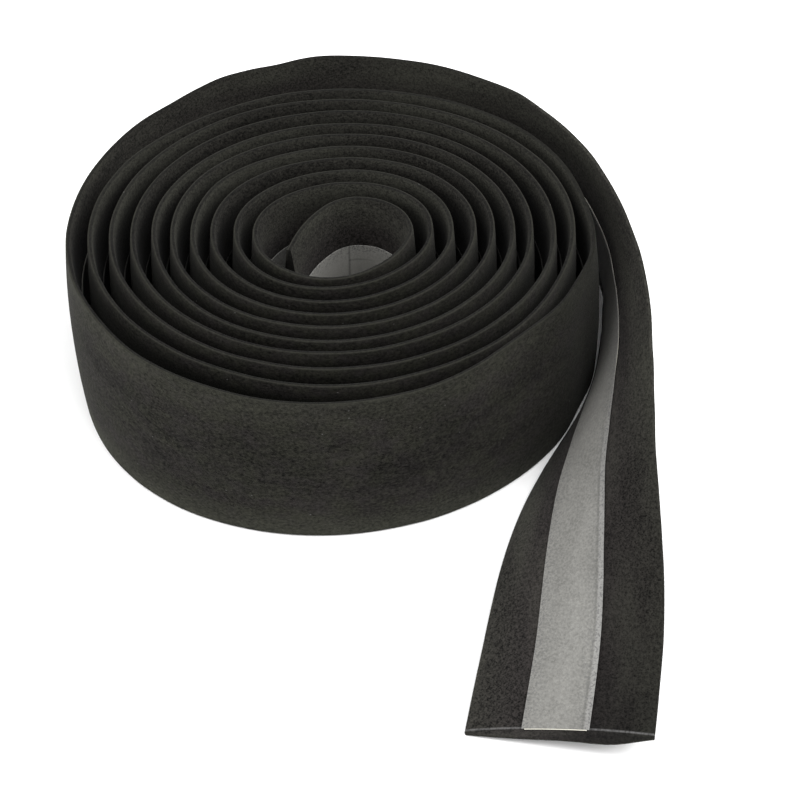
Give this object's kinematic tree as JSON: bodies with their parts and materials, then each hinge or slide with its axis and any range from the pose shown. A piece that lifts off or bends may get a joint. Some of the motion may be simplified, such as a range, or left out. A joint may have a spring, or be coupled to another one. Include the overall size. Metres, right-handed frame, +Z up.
{
  "type": "grip tape roll",
  "caption": "Coiled roll of suede-faced cushioned grip tape standing on its edge, free end twisted flat to show the adhesive strip's release liner.",
  "frame": {"origin": "middle of the plan outline, at the level the roll rests on", "axes": "+Z up along the coil's axis, -Y towards the free end of the tail, +X towards the side the tail leaves from"},
  "size_m": [0.1054, 0.1578, 0.0301],
  "materials": {
    "suede_face": "matte black microfibre suede",
    "foam_cushion": "matte black closed-cell foam",
    "adhesive_strip": "translucent pale double-sided adhesive",
    "release_liner": "grey release paper, fine grain"
  },
  "bodies": {
    "inner_end": {"suede_face_inner_end": "suede_face", "foam_cushion_inner_end": "foam_cushion", "adhesive_strip_inner_end": "adhesive_strip", "release_liner_inner_end": "release_liner"},
    "coil": {"suede_face_coil": "suede_face", "foam_cushion_coil": "foam_cushion", "adhesive_strip_coil": "adhesive_strip", "release_liner_coil": "release_liner"},
    "loose_turn": {"suede_face_loose_turn": "suede_face", "foam_cushion_loose_turn": "foam_cushion", "adhesive_strip_loose_turn": "adhesive_strip", "release_liner_loose_turn": "release_liner"},
    "tail": {"suede_face_tail": "suede_face", "foam_cushion_tail": "foam_cushion", "adhesive_strip_tail": "adhesive_strip", "release_liner_tail": "release_liner"},
    "tail_tip": {"suede_face_tail_tip": "suede_face", "foam_cushion_tail_tip": "foam_cushion", "adhesive_strip_tail_tip": "adhesive_strip", "release_liner_tail_tip": "release_liner"},
    "pull_tab": {"release_liner_pull_tab": "release_liner"}
  },
  "joints": [
    {"name": "loose_turn_open", "type": "hinge", "parent": "coil", "child": "loose_turn", "pos_m": [-0.05279, 0.01867, 0.015], "axis": [0, 0, 1], "range_deg": [0, 20]},
    {"name": "tail_swing", "type": "hinge", "parent": "loose_turn", "child": "tail", "pos_m": [0.04973, 0.03543, 0.01504], "axis": [0, 0, 1], "range_deg": [0, 40]},
    {"name": "tail_tip_lift", "type": "hinge", "parent": "tail", "child": "tail_tip", "pos_m": [0.03758, -0.04526, 0.00851], "axis": [-0.8817, 0.1954, -0.4294], "range_deg": [0, 50]},
    {"name": "liner_peel", "type": "hinge", "parent": "tail_tip", "child": "pull_tab", "pos_m": [0.03551, -0.06249, 0.00577], "axis": [-0.953, 0.1902, -0.236], "range_deg": [0, 150]},
    {"name": "inner_end_swing", "type": "hinge", "parent": "coil", "child": "inner_end", "pos_m": [-0.00248, 0.02568, 0.015], "axis": [0, 0, 1], "range_deg": [-4, 25]}
  ],
  "couplings": [
    {"joint": "loose_turn_open", "follows": "tail_swing", "ratio": 0.5}
  ]
}
